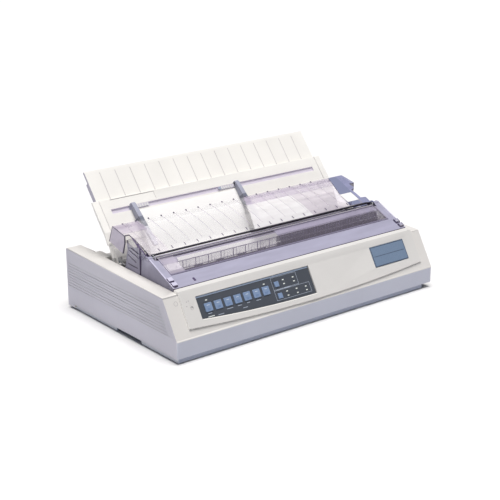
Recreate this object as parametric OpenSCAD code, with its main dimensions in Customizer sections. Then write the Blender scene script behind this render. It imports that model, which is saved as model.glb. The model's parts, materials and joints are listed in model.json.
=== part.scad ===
// Wide-carriage dot matrix printer, as an assembly of separate pieces.
// Origin: centre of the case footprint on the ground. +X right, +Y back, +Z up. Millimetres.

/* [Case] */
// Overall width of the case
case_w = 552; // [552:1:554]
// Overall depth of the case
case_d = 317; // [317:1:319]
// Height of the vertical band at the front
band_z = 36.6; // [34:0.2:37]
// Depth at which the front slope ends
slope_y = 36.5; // [36:0.5:37]
// Height of the top of the front slope
slope_z = 98.2; // [97.8:0.2:98.4]
// Height of the rear edge of the side walls
rear_z = 105.9; // [105:0.1:107]
// Height of the parting line between the lower and upper case
part_z = 9; // [9:0.5:10]
// Thickness of the moulded walls
wall = 3; // [2.6:0.1:3]

/* [Top opening] */
// Left edge of the opening under the covers
open_l = -247.3; // [-248:0.1:-247.3]
// Right edge of the opening under the covers
open_r = 256.3; // [256.3:0.1:257]
// Front edge of the opening under the covers
open_f = 47.5; // [47:0.1:47.5]

/* [Control panel] */
// Side of a square key
key_s = 14; // [12:0.5:14]
// Distance between key centres
key_pitch = 19.1; // [18:0.1:19.5]
// Side of a small key
small_key_s = 9; // [7:0.5:9]
// How far a key stands proud of the panel sheet
key_proud = 1.2; // [1:0.1:1.5]

/* [Paper path] */
// Radius of the rubber platen
platen_r = 19; // [18:0.1:19]
// Radius of the platen shaft
shaft_r = 5; // [4.5:0.1:5]
// Width of the loaded sheet
sheet_w = 210; // [148:1:210]
// Tilt of the raised sheet guide from the horizontal
guide_tilt = 50.7; // [50:0.1:51.5]
// Number of ribs on the rear cover
rib_count = 17; // [9:1:17]

/* [Drive train] */
// Teeth on the platen gear
platen_teeth = 44; // [44:1:44]
// Teeth on the idle gear
idle_teeth = 34; // [34:1:34]
// Teeth on the feed motor pinion
pinion_teeth = 12; // [12:1:12]
// Teeth on the tractor gear
tractor_teeth = 24; // [24:1:24]
// Teeth on the pull-up roller gear
pull_teeth = 28; // [28:1:28]

/* [Print mechanism] */
// Resting place of the carriage across the machine
head_x = 150; // [100:1:172]
// Radius of the carriage shaft
rod_r = 6; // [5:0.1:6]

/* [Hidden] */
$fn = 48;
e = 0.01;
hw = case_w/2;
sa = atan2(slope_z-band_z, slope_y);            // slope angle
sl = norm([slope_y, slope_z-band_z]);           // slope length
function wall_top(y) = slope_z + (y-slope_y)*(rear_z-slope_z)/(case_d-slope_y);

cream = [0.90,0.88,0.84]; grey_dark = [0.45,0.48,0.55]; smoke = [0.66,0.62,0.74,0.55];
steel = [0.70,0.71,0.73]; black = [0.12,0.12,0.13]; green = [0.12,0.36,0.22];

// axes, as [y, z] in the case frame
P = [138, 74];                                   // platen
gp = platen_teeth/2; gi = idle_teeth/2; gm = pinion_teeth/2; gt = tractor_teeth/2; gu = pull_teeth/2;
T = [P[0]+sqrt(pow(gp+2*gi+gt+0.1,2)-144), 62];  // tractor drive
ai = atan2(T[1]-P[1], T[0]-P[0]);
I = P + (gp+gi+0.05)*[cos(ai), sin(ai)];         // idle gear
M = I + [0, -(gi+gm+0.05)];                      // feed motor
U = [112.7, P[1]+sqrt(pow(gp+gu+0.05,2)-pow(P[0]-112.7,2))];  // pull-up roller
S = [232, 62];                                   // tractor support shaft
H = [92, 40];                                    // carriage shaft
LP = [190, 38];                                   // paper lever pivot
C = [118, 131.5];                                // access cover hinge
R = [128, 130.5];                                // rear cover hinge
G = [212, 96];                                   // sheet guide hinge
fl = -236; fr = 239;                             // side frame faces (left outer, right inner)
au = atan2(U[1]-P[1], U[0]-P[0]);

// sheet guide frame: s up the panel, n towards the front
B = [236, 146];
gu_s = [cos(guide_tilt), sin(guide_tilt)];
gu_n = [-sin(guide_tilt), cos(guide_tilt)];
function gpt(s, n) = B + s*gu_s + n*gu_n;

module fr_() { translate([0, -case_d/2, 0]) children(); }
// a (y,z) outline drawn out along X from x0 to x1
module xp(x0, x1) { translate([x0,0,0]) rotate([90,0,90]) linear_extrude(x1-x0) children(); }
module xcyl(x0, x1, c, r) { translate([x0, c[0], c[1]]) rotate([0,90,0]) cylinder(h=x1-x0, r=r); }
module bx(a, b) { translate(a) cube(b-a); }
// frame of the front slope: x, t up the slope, n outwards
module slope() { translate([0,0,band_z]) rotate([sa,0,0]) children(); }
// frame of the sheet guide: x, s up the panel, n towards the front
module panel() { translate([0,B[0],B[1]]) rotate([guide_tilt,0,0]) children(); }
// rectangle with round corners
module rrect(x0, y0, x1, y1, r) {
  union() {
    translate([x0+r,y0]) square([x1-x0-2*r, y1-y0]);
    translate([x0,y0+r]) square([x1-x0, y1-y0-2*r]);
    for (x=[x0+r,x1-r], y=[y0+r,y1-r]) translate([x,y]) circle(r);
  }
}
module gear(z, h, bore, rot=0) {
  a = 360/z; r = z/2;
  difference() {
    linear_extrude(h) polygon([for (i=[0:z-1]) for (p=[[-0.31,-1.25],[-0.12,0.9],[0.12,0.9],[0.31,-1.25]])
      (r+p[1])*[cos(rot+(i+p[0])*a), sin(rot+(i+p[0])*a)]]);
    translate([0,0,-1]) cylinder(h=h+2, r=bore);
  }
}
module xgear(x0, c, z, h, bore, rot) { translate([x0,c[0],c[1]]) rotate([90,0,90]) gear(z,h,bore,rot); }
// where a driven gear turns to, for a driver whose tooth stands at angle t0, seen along direction d
function mesh_gap(d, t0, za, zb) = let (a=360/za, k=(d-t0)/a, del=(k-floor(k))*a) d+180+del*za/zb+180/zb;

// ---------------------------------------------------------------- case
big = 2321;
module swoop(low, r=big) { translate([4, low+r, -20]) cylinder(h=40, r=r, $fn=900); }

module lower_case() color(grey_dark) fr_() difference() {
  union() {
    bx([-270,6,3],[254,311,6]);
    bx([250,40,3],[270,311,6]);
    bx([269.4,16,8.5],[272.4,311,20]); bx([252.6,16,8.5],[272.4,19,20]); bx([269.4,40,3],[272.4,311,9]); bx([252.6,40,3],[272.4,43,9]); bx([252.6,16,8.5],[272.4,43,11]);
    bx([-272.6,2.4,1.4],[255.6,5.4,8.9]);            // front plinth
    bx([-269.4,3.4,5.5],[255.6,6.4,20]);
    bx([-272.6,2.4,1.4],[-269.6,102,8.9]);           // left plinth, front stretch
    bx([-272.6,172,1.4],[-269.6,311,8.9]);
    bx([-272.4,6,3],[-269.4,311,20]);
    bx([252.6,2.4,1.4],[255.6,18,8.9]); bx([252.6,3.4,5.5],[255.6,18,20]);
    bx([-269.4,308,3],[272.4,311,20]);
    for (x=[-150,-50,50,150]) bx([x-1,8,6],[x+1,44,12]);   // floor ribs
    for (x=[-240,240], y=[20,296]) translate([x,y,5.9]) cylinder(h=12.2,r=5);
  }
  for (x=[-240,240], y=[20,296]) translate([x,y,0]) cylinder(h=30,r=1.6);
  for (i=[0:13]) bx([20+i*9,60,2],[24+i*9,120,7]);         // air slots
  bx([-275,102,1],[-269,172,8.9]);
  bx([269,43,13.2],[273,71,21]);                          // clear of the power rocker
}

module upper_outer(d) {
  x0 = -hw+d; x1 = hw-d;
  polygon([[d,part_z-(d>0?9:0)],[d,band_z-d*0.28],[slope_y+d*0.55,slope_z-d],[case_d-d,rear_z-d],[case_d-d,part_z-(d>0?9:0)]]);
}
module upper_case() color(cream) fr_() difference() {
  union() {
    difference() {
      xp(-hw,hw) upper_outer(0);
      xp(-hw+wall,hw-wall) upper_outer(wall);
      // top opening
      bx([open_l,open_f,70],[open_r,262,130]);
      // grooves on both sides
      for (i=[0:8]) { z = 80.8-i*4.92; y0 = 46-i*3;
        bx([-hw-1,y0,z-0.6],[-hw+0.35,case_d-3,z+0.6]);
        bx([hw-0.35,y0,z-0.6],[hw+1,case_d-3,z+0.6]); }
      // rear deck is lower than the side walls
      bx([open_l,262,79],[open_r,case_d+1,130]);
    }
    // lips around the opening
    bx([open_l-2.5,open_f-2.5,88],[open_l,case_d-wall+e,wall_top(open_f)-0.6]);
    bx([open_r,open_f-2.5,88],[open_r+2.5,case_d-wall+e,wall_top(open_f)-0.6]);
    bx([open_l-2.5,open_f-2.5,88],[open_r+2.5,open_f,96.5]);
    // rear deck
    bx([open_l-2.5,262,76],[open_r+2.5,case_d-wall+e,79]);
    bx([open_l,262,70],[open_r,264.5,77]);
    bx([open_l-2.5,262,76],[open_l,case_d-wall+e,89]); bx([open_r,262,76],[open_r+2.5,case_d-wall+e,89]);
    bx([open_l-2.5,262,76],[open_l+2,264.5,89]); bx([open_r-2,262,76],[open_r+2.5,264.5,89]);
    // the side walls reach lower at their rear ends
    for (x=[-hw,hw-wall]) bx([x,297,4.6],[x+wall,case_d,9.5]);
    // ledges beside the sheet guide's foot
    bx([open_l-1,181,95.5],[-243.2,237,98.5]); bx([252.4,181,95.5],[open_r+1,237,98.5]);
    // stop blocks beside the sheet guide
    bx([open_l-1,236,88],[-237,271,104.6]); bx([open_l-1,262,76],[-237,271,89]);
    bx([244,236,88],[open_r+1,271,104.6]); bx([244,262,76],[open_r+1,271,89]);
    // pocket for the platen knob
    xcyl(258.5,hw-1,P,24.5);
    // pocket for the paper lever
    bx([260,168,70],[hw-1,212,99]);
    // pivots of the power rocker
    bx([267.6,53,13.6],[273.1,61,17.4]); bx([267.6,53,34.6],[273.1,61,38]);
    // screw posts under the slope
    for (x=[-240,240]) translate([x,20,18.2]) cylinder(h=41.8,r=4.5);
    for (x=[-240,240]) translate([x,296,18.2]) cylinder(h=58.5,r=4.5);
  }
  xcyl(261,hw+1,P,22.3);
  xcyl(250,hw+1,P,10);
  bx([263,170.5,72.5],[hw+1,209.5,96.5]);
  bx([250,173,60],[264,207,94.5]);
  bx([266,44.2,17.2],[hw+1,69.8,34.8]); translate([hw-5,57,15.2]) cylinder(h=21.6,r=1.36);
  for (x=[-240,240], y=[20,296]) translate([x,y,0]) cylinder(h=30,r=1.3);
  // keys, lamps and control board window
  slope() {
    for (i=[0:6]) translate([-201.5+i*key_pitch-key_s/2-0.4,39.7-key_s/2-0.4,-8]) cube([key_s+0.8,key_s+0.8,12]);
    for (t=[45.1,25.6]) translate([-62.6-small_key_s/2-0.4,t-small_key_s/2-0.4,-8]) cube([small_key_s+0.8,small_key_s+0.8,12]);
  }
  // rear: fanfold slot, inlet and connector windows
  bx([-219,case_d-5,49],[219,case_d+1,73]);
  bx([-214.5,case_d-5,20],[-185.5,case_d+1,43]);
  bx([58,case_d-5,22],[132,case_d+1,42]);
  for (i=[0:8]) bx([-160+i*14,case_d-5,22],[-154+i*14,case_d+1,42]);
}

function sp(t, n) = [t*cos(sa)-n*sin(sa), band_z+t*sin(sa)+n*cos(sa)];
module front_bezel() color(cream) fr_() difference() {
  intersection() {
    // plate on the slope, with a lip over its top
    xp(-248,255) polygon([sp(-4,0.02), sp(-4,2.62), sp(sl+3,2.62), [45.5,102.8], [45.5,wall_top(45.5)+0.05], sp(sl,0.02)]);
    bx([-260,0,0],[270,60,120]);
    slope() swoop(4.4, 3068);
  }
  slope() intersection() {
    translate([-220,8,-1]) cube([230,52.6,6]);
    swoop(13.2);
  }
  slope() translate([149.4,25.7,1.2]) cube([80.1,36,3]);
  slope() translate([-232,44.7,1.9]) cylinder(h=2,r=2.4);
}

module control_sheet() color([0.36,0.38,0.43]) fr_() slope() difference() {
  intersection() { translate([-219.6,8.4,0.03]) cube([229.2,51.8,0.5]); swoop(13.6); }
  for (i=[0:6]) translate([-201.5+i*key_pitch-key_s/2-0.4,39.7-key_s/2-0.4,-1]) cube([key_s+0.8,key_s+0.8,3]);
  for (t=[45.1,25.6]) translate([-62.6-small_key_s/2-0.4,t-small_key_s/2-0.4,-1]) cube([small_key_s+0.8,small_key_s+0.8,3]);
}
module key(x, t, s) color([0.53,0.63,0.78]) fr_() slope() union() {
  translate([0,0,-2.4]) linear_extrude(2.4+0.53+key_proud) rrect(x-s/2,t-s/2,x+s/2,t+s/2,1.2);
  translate([x-1.5,t-1.5,-7]) cube([3,3,5]);
}
module key_1() key(-201.5, 39.7, key_s);
module key_2() key(-201.5+key_pitch, 39.7, key_s);
module key_3() key(-201.5+2*key_pitch, 39.7, key_s);
module key_4() key(-201.5+3*key_pitch, 39.7, key_s);
module key_5() key(-201.5+4*key_pitch, 39.7, key_s);
module key_6() key(-201.5+5*key_pitch, 39.7, key_s);
module key_7() key(-201.5+6*key_pitch, 39.7, key_s);
module small_key_1() key(-62.6, 45.1, small_key_s);
module small_key_2() key(-62.6, 25.6, small_key_s);

module badge_plate() color([0.45,0.55,0.67]) fr_() slope() translate([0,0,1.23]) linear_extrude(1.8) rrect(149.8,26.1,229.1,61.3,1);

module control_board() color(green) fr_() slope() union() {
  translate([-218,17,-13]) cube([226,40,1.6]);
  for (i=[0:6]) translate([-201.5+i*key_pitch-3,36.7,-11.4]) cube([6,6,3.2]);
  for (t=[45.1,25.6]) translate([-65.6,t-3,-11.4]) cube([6,6,3.2]);
  for (x=[-200,-10]) translate([x,20,-11.4]) cylinder(h=8.2,r=2.4);
}

// ---------------------------------------------------------------- frames and fixed mechanism
module frame_outline() polygon([[46,6],[262,6],[262,56],[246,80],[220,99.8],[204,99.8],[200,99],[156,99],[152,121],[142,121],[134,114],
  [124.5,114],[120.6,124],[120.6,136],[115.8,136],[114.2,122],[103,112],[98,70],[46,66]]);
module frame_holes(x0, x1) {
  xcyl(x0,x1,P,shaft_r+0.06);
  xcyl(x0,x1,H,rod_r+0.02);
  xcyl(x0,x1,U,3.06);
  xcyl(x0,x1,T,6.06);
  xcyl(x0,x1,S,4.02);
  xcyl(x0,x1,G,3.06);
}
module side_frame_left() color(steel) fr_() union() {
  difference() {
    union() { xp(fl,fl+2) frame_outline(); bx([fl+2-e,60,6],[fl+11,100,8]); bx([fl+2-e,206,6],[fl+11,250,8]); }
    frame_holes(fl-1,fl+3);
    xcyl(fl-1,fl+3,M,5);
    for (c=[[70,24],[220,36]]) xcyl(fl-1,fl+3,c,8);
  }
  xcyl(fl-10.5,fl+e,C,1.6);      // cover pivot
  xcyl(fl-7,fl+e,I,3);           // idle gear stud
}
module side_frame_right() color(steel) fr_() union() {
  difference() {
    union() { xp(fr,fr+2) frame_outline(); bx([203,60,6],[fr+e,100,8]); tension_post(); xcyl(fr+2-e,258,LP,3); bx([fr-10,206,6],[fr+e,250,8]); }
    frame_holes(fr-1,fr+3);
    for (c=[[70,24],[220,36],[176,40]]) xcyl(fr-1,fr+3,c,8);
  }
  xcyl(fr+2-e,fr+12.6,C,1.6);
}
module carriage_shaft() color([0.8,0.81,0.83]) fr_() xcyl(fl-3,fr+5,H,rod_r);
module carriage_rail() color(steel) fr_() xp(fl+2.05,fr-0.05) polygon([[48,14],[50,14],[50,56],[60,56],[60,58],[48,58]]);
// curved pan under the platen, and the plate behind the exit
module paper_plates() color(steel) fr_() union() {
  difference() {
    xcyl(fl+2.05,fr-0.05,P,22.4);
    xcyl(fl,fr+1,P,21.2);
    xp(fl,fr+1) polygon([P,P+40*[cos(-32),sin(-32)],P+[60,60],P+[-60,60],P+40*[cos(206),sin(206)]]);
  }
  xp(fl+2.05,fr-0.05) polygon([lp(19,1.2),lp(37,1.2),lp(37,2.2),lp(19,2.2)]);
  for (x=[fl+2.05,fr-1.05]) xp(x,x+1) polygon([lp(19,1.3),lp(37,1.3),[150,113],[141,106]]);
}
module space_motor() color([0.35,0.36,0.38]) fr_() union() {
  translate([-205,70,6.05]) cylinder(h=18,r=19.5);
  translate([-205,70,24]) cylinder(h=1.2,r=7.5);
  bx([-223,66,6.05],[-182,74,8]);
}
module drive_pulley() color(steel) fr_() translate([-205,70,25.6]) union() {
  cylinder(h=9,r=6.1); cylinder(h=1,r=8.2); translate([0,0,8]) cylinder(h=1,r=8.2);
}
module idler_pulley() color(steel) fr_() translate([212,70,25.6]) difference() {
  union() { cylinder(h=9,r=6.1); cylinder(h=1,r=8.2); translate([0,0,8]) cylinder(h=1,r=8.2); }
  translate([0,0,-1]) cylinder(h=12,r=2.06);
}
module belt_loop(r, z0, z1) { translate([0,0,z0]) linear_extrude(z1-z0) union() {
  translate([-205,70-r]) square([417,2*r]); translate([-205,70]) circle(r); translate([212,70]) circle(r); } }
module timing_belt() color(black) fr_() union() {
  difference() { belt_loop(7.6,27.2,32.8); belt_loop(6.4,27,33); }
}
module tension_post() { translate([212,70,7.9]) cylinder(h=17.3,r=5); translate([212,70,7.9]) cylinder(h=27,r=2); }
module feed_motor() color([0.35,0.36,0.38]) fr_() difference() {
  union() { xcyl(fl+2.05,fl+24,M,19.5); xcyl(fl,fl+4,M,4.4); }
  xcyl(fl-1,fl+10,M,1.36);
}
module main_board() color(green) fr_() union() {
  bx([-90,205,10],[230,304,11.6]);
  for (x=[-80,220], y=[212,296]) translate([x,y,6]) cylinder(h=4.1,r=3);
  bx([-60,220,11.5],[-20,260,15]); bx([0,225,11.5],[36,245,14.5]); bx([60,225,11.5],[96,245,14.5]);
  bx([150,230,11.5],[200,236,20]);
  for (i=[0:4]) translate([-70+i*14,285,11.5]) cylinder(h=16,r=5);
}
module power_supply() color([0.66,0.67,0.69]) fr_() union() { difference() {
  bx([-222,204,6.05],[-100,300,42]);
  bx([-220.5,205.5,7.5],[-101.5,298.5,45]);
 }
  bx([-212,215,7.4],[-160,275,38]); bx([-150,220,7.4],[-118,280,24]);
}
module power_inlet() color(black) fr_() union() {
  difference() {
    union() { bx([-214,case_d-16,20.5],[-186,case_d-0.2,42.5]); }
    bx([-212.3,case_d-14,23.2],[-187.7,case_d+1,39.8]);
  }
  for (p=[[-207,29.5],[-200,33.5],[-193,29.5]]) bx([p[0]-1,case_d-14.5,p[1]-2],[p[0]+1,case_d-4.5,p[1]+2]);
}
module parallel_connector() color(steel) fr_() union() {
  difference() {
    bx([62,case_d-16,25],[128,case_d-0.4,39]);
    bx([64,case_d-10,27],[126,case_d+1,37]);
  }
  bx([67,case_d-11,31],[123,case_d-3,33]);
  bx([58.5,case_d-6,23],[62.5,case_d-3.05,41]); bx([127.5,case_d-6,23],[131.5,case_d-3.05,41]);
}
module rubber_feet() color(black) fr_() union() {
  for (p=[[-258,299],[225,299],[-258,30],[225,30],[-258,176],[225,176]]) translate([p[0],p[1],0]) cylinder(h=3,r=9);
}
module case_screws() color(steel) fr_() union() {
  for (x=[-240,240], y=[20,296]) translate([x,y,0]) { translate([0,0,0.9]) cylinder(h=2,r=3.2); translate([0,0,2.8]) cylinder(h=24,r=1.25); }
}

module bracket(x, s, w) {     // x: outer face, s: +1 grows to the right, -1 to the left
  module xq(a, b) { xp(s>0?x+a:x-b, s>0?x+b:x-a) children(); }
  difference() {
    union() {
      xq(0,3) polygon([[139,98.2],[180,98.2],[180.1,104.8],[172.6,134.8],[174.7,149.3],[160,156.4],[139,143.5]]);
      xq(3-e,5.2) polygon([[122.9,127.2],[131,126],[139,120],[150,120],[150,149.5],[125.4,134.4],[122.9,133]]);
      xq(0,w) polygon([[141,98.2],[179,98.2],[179,100.2],[141,100.2]]);
    }
    xq(2,7) translate(R) circle(1.66);
    if (s<0) xq(-1,9) polygon([[118,170],[118,133.8],[131.5,133.8],[137,130.5],[146,125],[152,126.5],[166,131.4],[182,137],[182,170]]);
    for (q=[[141,134.4,163.7,139.7],[141.5,127.2,167.6,134.4],[148.5,118.6,171.8,126.3],[144.4,110.1,171.7,111.2]])
      xq(-1,1.2) polygon([[q[0],q[1]-0.7],[q[2],q[3]-0.7],[q[2],q[3]+0.7],[q[0],q[1]+0.7]]);
  }
}
module cover_brackets() color(smoke) fr_() union() { bracket(-247,1,11); bracket(256,-1,15); }

module pull_up_strip() color([0.75,0.72,0.80,0.6]) fr_() union() {
  xp(fl+2.05,fr-0.05) polygon([[103.5,104.2],[105.2,104.2],[106.05,122],[104.35,122]]);
  xp(fl+2.05,fr-0.05) polygon([[101.6,111],[104.4,111],[104.4,112.4],[101.6,112.4]]);
  for (i=[0:17]) xp(-214+i*25.4,-213.2+i*25.4) polygon([[102.6,104.2],[104.4,104.2],[105,118.9],[103.2,118.9]]);
  for (i=[0:16]) xp(-201.2+i*25.4,-200.6+i*25.4) polygon([[102.9,112.3],[104.4,112.3],[105,117],[103.5,117]]);
}
module tractor_support_shaft() color([0.8,0.81,0.83]) fr_() xcyl(fl-2,fr+4,S,4);

// ---------------------------------------------------------------- loaded sheet
// the printed sheet leans back above the platen: t up along it, n behind it
function lp(t, n) = [121.9,94.6] + t*[0.6385,0.7697] + n*[0.7697,-0.6385];
ps0 = gpt(27,0.55);
psb = gpt(0,0.6);
function arc_pt(r, a) = P + r*[cos(a), sin(a)];
pr = platen_r+0.45;
sheet_path = concat([ps0, psb, [229.9,136.4], [224.1,125.4], [218.7,114.4], [215.4,107.6], [212.4,101.6], [206,95], [190,87], [170,80.4]],
  [for (a=[8:-12:-172]) arc_pt(pr,a)], [arc_pt(pr,-180), [P[0]-pr,82], [119.3,88.6], for (t=[0:6.5:26]) lp(t,0)]);
function nrm(p, i) = let (a=p[max(i-1,0)], b=p[min(i+1,len(p)-1)], d=(b-a)/norm(b-a)) [-d[1],d[0]];
module paper_sheet() color([0.97,0.97,0.96]) fr_() xp(-175.5,-175.5+sheet_w)
  polygon(concat([for (i=[0:len(sheet_path)-1]) sheet_path[i]+0.1*nrm(sheet_path,i)],
                 [for (i=[len(sheet_path)-1:-1:0]) sheet_path[i]-0.1*nrm(sheet_path,i)]));

// ---------------------------------------------------------------- covers
cs = 0.455;                                        // rise of the access cover
function cz(y) = 102.6 + (y-47.8)*cs;
cheek_o = [[49.8,95.6],[47.8,98.9],[47.8,cz(47.8)+0.9],[112,cz(112)+0.9],[119,135.2],[122,135.4],[134.2,126.5],[137.4,101.7],[137.4,97.5],[60,95.6]];
module access_cover() color(smoke) fr_() difference() {
  union() {
    // sloping plate
    xp(-246.8,255.8) polygon([[49.8,95.6],[47.8,98.9],[47.8,cz(47.8)],[115,cz(115)],[115,cz(115)-2.2],[51.8,cz(51.8)-2.2],[51.8,95.6]]);
    // cheeks
    xp(-246.8,-244.5) polygon(cheek_o);
    xp(253.5,255.8) polygon(cheek_o);
    // hinge bosses
    xcyl(-246.8,fl-2.6,C,4);
    xcyl(fr+4.6,255.8,C,4);
    // rear lip
    xp(-232,236) polygon([[113.4,cz(113.4)-0.5],[115,cz(115)],[115,cz(115)-3.6],[113.4,cz(113.4)-4.6]]);
    // raised rim around the window
    difference() {
      xp(-232,239) polygon([[73.5,cz(73.5)-0.4],[73.5,cz(73.5)+1.1],[112,cz(112)+1.1],[112,cz(112)-0.4]]);
      xp(-229,236) polygon([[75.5,cz(75.5)-1],[75.5,cz(75.5)+3],[110,cz(110)+3],[110,cz(110)-1]]);
    }
    // lift tabs
    for (x=[-245.6,245.4]) { xp(x,x+9) polygon([[50,cz(50)-1],[50,cz(50)+3.6],[56,cz(56)+4.2],[58.5,cz(58.5)-1]]);
      xp(x,x+9) polygon([[60,cz(60)-1],[60,cz(60)+3.6],[67,cz(67)+3.8],[69.5,cz(69.5)-1]]); }
    // small centre mark
    xp(-203,-199.5) polygon([[53,cz(53)-1],[53,cz(53)+0.8],[59,cz(59)+0.8],[59,cz(59)-1]]);
  }
  // notches for the frame ears
  bx([-238.4,108,120],[-231.7,130,140]); bx([236.6,108,120],[243.4,130,140]);
  xcyl(-248,fl,C,1.66); xcyl(fr,257,C,1.66);
}

rc_top = [[122.5,134.6],[136,141],[152,147.4],[168,152.4],[184,156.6],[200,160.2],[215,163]];
module rear_skin(x0, x1, y1=999) xp(x0,x1) polygon(concat(rc_top,[for (i=[len(rc_top)-1:-1:0]) rc_top[i]-[-0.6,2.1]]));
module rear_cover() color([0.78,0.74,0.82,0.5]) fr_() union() {
  difference() {
    rear_skin(-238,242.6);
    translate([0,0,120]) linear_extrude(50) polygon([[231.6,138],[243,136.5],[243,169.5],[239.5,164.8],[231.6,163]]);
  }
  // wider rear part with cheeks
  for (x=[[-246.8,-237],[241.6,255]]) intersection() { rear_skin(x[0],x[1]); bx([x[0],181,120],[x[1],230,180]); }
  for (x=[-246.8,252.8]) xp(x,x+2.2) polygon([[181,155],[215,163],[216.6,160],[226.4,134.7],[187,123.5],[181,143]]);
  // rear turn-down
  xp(-246.8,255) polygon([[213.6,162.6],[215,163],[219.5,154],[218.2,153.4]]);
  // hinge lugs and pins
  for (x=[[-238,-236.4],[241.4,242.6]]) xp(x[0],x[1]) polygon([[122.5,134.6],[133,139],[133,131],[130,127.4],[126,127.4],[123.4,130.6]]);
  xcyl(-244.2,-237.9,R,1.6); xcyl(242.5,253.2,R,1.6);
  // ribs
  for (i=[0:rib_count-1]) { x = -228+i*25.4;
    xp(x-0.4,x+0.4) polygon(concat([for (p=rc_top) if (p[0]>124) p-[0,0.5]],[for (i=[len(rc_top)-1:-1:1]) rc_top[i]+[0,0.6]])); }
}

module sheet_guide() color(cream) fr_() difference() {
  union() {
    xp(-249,249) polygon([gpt(57,0),gpt(0,0),[230.4,136],[226,127.7],[229.9,126.2],[234.4,134.8],gpt(0.8,-4),gpt(57,-4)]);
    xp(-246.8,249) polygon([[227,129.6],[224.6,125],[219.3,114],[216.2,107.4],[220,106.6],[223,112.6],[228.4,123.6],[231,128.4]]);
    xp(-230,233) polygon([[214,102.4],[216.6,108.2],[220.6,107.6],[218,101.6]]);
    // side ribs behind the panel
    for (x=[-246,243]) xp(x,x+3) polygon([gpt(50,-3.9),gpt(2,-3.9),gpt(2,-10),gpt(46,-10)]);
    // hinge arms and pins
    for (x=[-242,239+2.6]) xp(x,x+2.4) polygon([[208.4,93.6],[212,92],[216,94],[222,110],[226,122],[221,122],[213.6,107],[209,98]]);
    xcyl(-242,fl+3,G,3); xcyl(fr-1,244,G,3);
  }
  // T-slot for the paper guides
  panel() { translate([-220,30,-1.3]) cube([442,8,3]); translate([-220,27.6,-2.9]) cube([442,12.8,1.65]);
    translate([-215,54.6,-0.25]) cube([87,0.6,1]); translate([-128.6,42,-0.25]) cube([0.6,13.2,1]);
    for (x=[-236.3,235.7]) translate([x,1,-0.3]) cube([0.6,60,1]); }
}
module paper_support() color(cream) fr_() panel() difference() {
  union() {
    translate([-236,37,-6.8]) cube([472,77,2.3]);
    for (x=[-238,236]) translate([x,58,-14]) cube([2,36,9.4]);
    for (x=[-238,236]) translate([x,58,-9]) cube([2,56,4.5]);
    translate([-236,111.4,-9.6]) cube([472,2.6,5]);
  }
  for (i=[0:14]) translate([-210.6+i*30,60,-5.1]) cube([1.2,48,2]);
}
module paper_guide(x, s) {   // x: face towards the sheet, s: +1 when the sheet is to the right
  fr_() panel() union() {
    translate([s>0?x-9:x-1,28.2,-2.6]) cube([10,11.6,1.05]);
    translate([s>0?x-8:x,30.4,-1.6]) cube([8,7.2,2.6]);
    translate([s>0?x-8:x,0,0]) rotate([90,0,90]) linear_extrude(8) polygon([[40,0.9],[40,7],[36,9.4],[-12,17.4],[-47,24],[-47,20],[-13,11],[-1,1.1]]);
    translate([s>0?x-1:x-33,31,0.25]) cube([s>0?30:34,6,1.2]);
    for (i=[0:4]) translate([s>0?x+5+i*5:x-9-i*5,31,0.3]) cube([2,6,1.9]);
    if (s<0) translate([x-34.5,33.6,0.25]) cylinder(h=3,r=2.2);
  }
}
module paper_guide_left() color([0.60,0.66,0.75]) paper_guide(-176,1);
module paper_guide_right() color([0.60,0.66,0.75]) paper_guide(35,-1);

// ---------------------------------------------------------------- rollers and gears
gx = fl-6.5;
module platen() color([0.10,0.10,0.11]) fr_() difference() { xcyl(-209,215,P,platen_r); xcyl(-210,216,P,shaft_r+0.02); }
module platen_shaft() color([0.8,0.81,0.83]) fr_() xcyl(fl-7.5,272,P,shaft_r);
module platen_gear() color([0.85,0.84,0.80]) fr_() xgear(gx,P,platen_teeth,5,shaft_r+0.02,ai);
module platen_knob() color([0.80,0.79,0.76]) fr_() difference() {
  union() { xcyl(262.5,275.6,P,16.2); xcyl(250,262.6,P,9.2); }
  xcyl(249,272.05,P,shaft_r+0.02);
  for (i=[0:23]) translate([262,P[0]+16.9*cos(i*15),P[1]+16.9*sin(i*15)]) rotate([0,90,0]) cylinder(h=15,r=1.3,$fn=16);
  xcyl(274.4,277,P,11);
}
idle_gap = ai+180;                                  // gap of the idle gear towards the platen
idle_rot = ai+180+180/idle_teeth;                   // a tooth stands here
module idle_gear() color([0.85,0.84,0.80]) fr_() xgear(gx,I,idle_teeth,5,3.06,idle_rot);
module feed_pinion() color([0.80,0.68,0.35]) fr_() union() {
  xgear(gx,M,pinion_teeth,5,1.2,mesh_gap(-90,idle_rot,idle_teeth,pinion_teeth));
  xcyl(gx-0.6,fl+9,M,1.3);
}
module pull_up_roller() color([0.30,0.30,0.32]) fr_() union() {
  xcyl(fl-7,fr+4,U,3);
  for (i=[0:9]) xcyl(-200+i*44,-188+i*44,U,5.4);
  xgear(gx,U,pull_teeth,5,2,mesh_gap(au,ai,platen_teeth,pull_teeth));
}
module tractor_drive_shaft() color(steel) fr_() union() {
  translate([fl+3,T[0]-4,T[1]-4]) cube([fr-fl-6,8,8]);
  xcyl(fl-7,fl+3.1,T,6); xcyl(fr-3.1,fr+4,T,6);
  xgear(gx,T,tractor_teeth,5,3,mesh_gap(ai,idle_rot,idle_teeth,tractor_teeth));
}
module tractor(x, s) {
  difference() {
    union() {
      bx([x-8,192,52],[x+8,243,73]);
      for (i=[0:4]) translate([x,198+i*9.6,72.9]) cylinder(h=3,r=1.4,$fn=24);
      bx([s>0?x+7.9:x-11,196,70],[s>0?x+11:x-7.9,239,75.6]);
      for (y=[196,237.4]) bx([s>0?x+7.8:x-11,y,75.5],[s>0?x+11:x-7.8,y+1.6,79.6]);
      translate([x+s*9.4,196,78]) rotate([-90,0,0]) cylinder(h=43,r=0.7);
    }
    xcyl(x-12,x+12,T,6.4); xcyl(x-12,x+12,S,4.06);
    bx([x-4,211,50],[x+4,224,70]);
  }
}
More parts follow.
